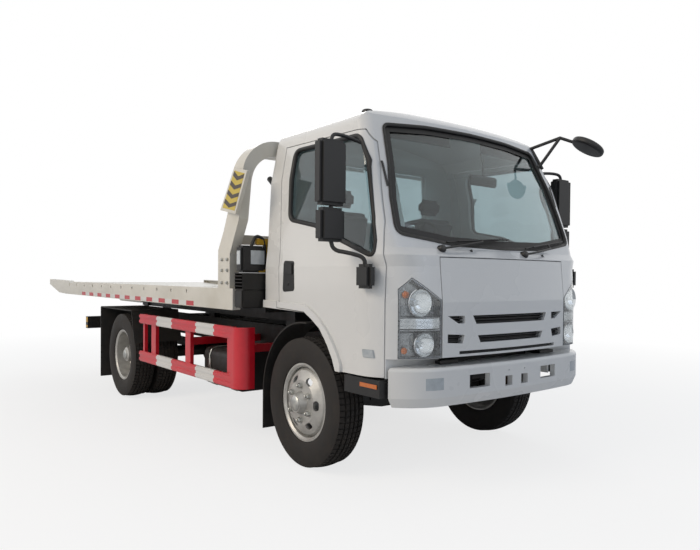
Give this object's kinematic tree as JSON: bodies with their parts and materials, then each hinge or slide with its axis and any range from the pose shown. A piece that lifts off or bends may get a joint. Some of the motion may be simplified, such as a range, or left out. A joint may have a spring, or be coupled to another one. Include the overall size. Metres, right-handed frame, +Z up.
{
  "type": "flatbed tow truck",
  "caption": "Cab-over flatbed tow truck with a tilting, sliding deck, striped side guards and a gantry behind the cab.",
  "frame": {"origin": "on the ground, under the middle of the whole truck", "axes": "+X forward, +Y to the truck's left, +Z up"},
  "size_m": [7.195, 2.44, 2.385],
  "materials": {
    "bed_cream": "gloss enamel",
    "board_yellow": "yellow with dark chevrons",
    "cab_white": "gloss enamel",
    "chassis_black": "satin enamel",
    "chromed_rod": "polished",
    "glass": "tinted",
    "guard_red": "red and white reflective stripes",
    "interior_grey": "grained",
    "lamp": "clear lens over chromed bowls",
    "mirror_black": "grained",
    "plastic_black": "grained",
    "rubber_black": "smooth",
    "seat_cloth": "woven",
    "steel_grey": "dull grey",
    "tail_lamp": "red lens",
    "tyre": "moulded rubber",
    "wheel_silver": "dull silver",
    "winch_yellow": "gloss enamel"
  },
  "bodies": {
    "chassis": {"chassis_frame": "chassis_black", "front_axle": "chassis_black", "rear_axle": "chassis_black", "leaf_springs": "chassis_black", "engine": "steel_grey", "radiator": "steel_grey", "propeller_shaft": "chassis_black", "front_bumper": "cab_white", "fog_lamps": "lamp", "door_steps": "plastic_black", "front_mudguards": "rubber_black", "rear_mudguards": "rubber_black", "side_guards": "guard_red", "fuel_tank": "chassis_black", "tool_box": "chassis_black", "silencer": "steel_grey", "catwalk_box": "chassis_black", "rear_beam": "chassis_black", "tail_lamps": "tail_lamp"},
    "cab": {"cab_shell": "cab_white", "cab_glass": "glass", "headlamps": "lamp", "dashboard": "interior_grey", "seats": "seat_cloth", "steering_wheel": "plastic_black", "wipers": "plastic_black", "roof_marker": "plastic_black", "air_intake": "plastic_black", "front_mirror": "mirror_black"},
    "front_lid": {"front_lid": "cab_white"},
    "door_right": {"door_right": "cab_white", "door_glass_right": "glass", "mirror_right": "mirror_black"},
    "door_left": {"door_left": "cab_white", "door_glass_left": "glass", "mirror_left": "mirror_black"},
    "knuckle_right": {"knuckle_right": "chassis_black"},
    "knuckle_left": {"knuckle_left": "chassis_black"},
    "wheel_front_right": {"tyre_front_right": "tyre", "rim_front_right": "wheel_silver"},
    "wheel_front_left": {"tyre_front_left": "tyre", "rim_front_left": "wheel_silver"},
    "wheels_rear_right": {"tyres_rear_right": "tyre", "rims_rear_right": "wheel_silver"},
    "wheels_rear_left": {"tyres_rear_left": "tyre", "rims_rear_left": "wheel_silver"},
    "tilt_frame": {"tilt_frame": "chassis_black"},
    "bed": {"deck": "bed_cream", "gantry": "bed_cream", "warning_boards": "board_yellow", "winch": "winch_yellow"},
    "cylinder_barrels": {"cylinder_barrels": "steel_grey"},
    "cylinder_rods": {"cylinder_rods": "chromed_rod"}
  },
  "joints": [
    {"name": "cab_tilt", "type": "hinge", "parent": "chassis", "child": "cab", "pos_m": [3.4975, 0, 0.815], "axis": [0, 1, 0], "range_deg": [0, 42]},
    {"name": "front_lid", "type": "hinge", "parent": "cab", "child": "front_lid", "pos_m": [3.5365, 0, 1.404], "axis": [0, -1, 0], "range_deg": [0, 60]},
    {"name": "door_right", "type": "hinge", "parent": "cab", "child": "door_right", "pos_m": [3.3825, -0.93, 1.1], "axis": [0, 0, 1], "range_deg": [0, 70]},
    {"name": "door_left", "type": "hinge", "parent": "cab", "child": "door_left", "pos_m": [3.3825, 0.93, 1.1], "axis": [0, 0, -1], "range_deg": [0, 70]},
    {"name": "steer_right", "type": "hinge", "parent": "chassis", "child": "knuckle_right", "pos_m": [2.5525, -0.745, 0.441], "axis": [0, 0, 1], "range_deg": [-35, 35]},
    {"name": "steer_left", "type": "hinge", "parent": "chassis", "child": "knuckle_left", "pos_m": [2.5525, 0.745, 0.441], "axis": [0, 0, 1], "range_deg": [-35, 35]},
    {"name": "front_wheel_right", "type": "hinge", "parent": "knuckle_right", "child": "wheel_front_right", "pos_m": [2.5525, -0.856, 0.441], "axis": [0, 1, 0], "continuous": true},
    {"name": "front_wheel_left", "type": "hinge", "parent": "knuckle_left", "child": "wheel_front_left", "pos_m": [2.5525, 0.856, 0.441], "axis": [0, 1, 0], "continuous": true},
    {"name": "rear_wheels_right", "type": "hinge", "parent": "chassis", "child": "wheels_rear_right", "pos_m": [-0.8125, -0.8415, 0.441], "axis": [0, 1, 0], "continuous": true},
    {"name": "rear_wheels_left", "type": "hinge", "parent": "chassis", "child": "wheels_rear_left", "pos_m": [-0.8125, 0.8415, 0.441], "axis": [0, 1, 0], "continuous": true},
    {"name": "bed_tilt", "type": "hinge", "parent": "chassis", "child": "tilt_frame", "pos_m": [-1.8975, 0, 0.935], "axis": [0, -1, 0], "range_deg": [0, 13.5]},
    {"name": "bed_slide", "type": "slide", "parent": "tilt_frame", "child": "bed", "axis": [-1, 0, 0], "range_m": [0, 2.8]},
    {"name": "cylinder_swing", "type": "hinge", "parent": "chassis", "child": "cylinder_barrels", "pos_m": [-0.7475, 0, 0.76], "axis": [0, -1, 0], "range_deg": [0, 24]},
    {"name": "cylinder_stroke", "type": "slide", "parent": "cylinder_barrels", "child": "cylinder_rods", "axis": [0.99, 0, 0.1409], "range_m": [0, 0.136]}
  ],
  "couplings": [
    {"joint": "steer_left", "follows": "steer_right", "ratio": 1},
    {"joint": "cylinder_swing", "follows": "bed_tilt", "ratio": 1.7407},
    {"joint": "cylinder_stroke", "follows": "bed_tilt", "m_per_rad": 0.5559}
  ]
}
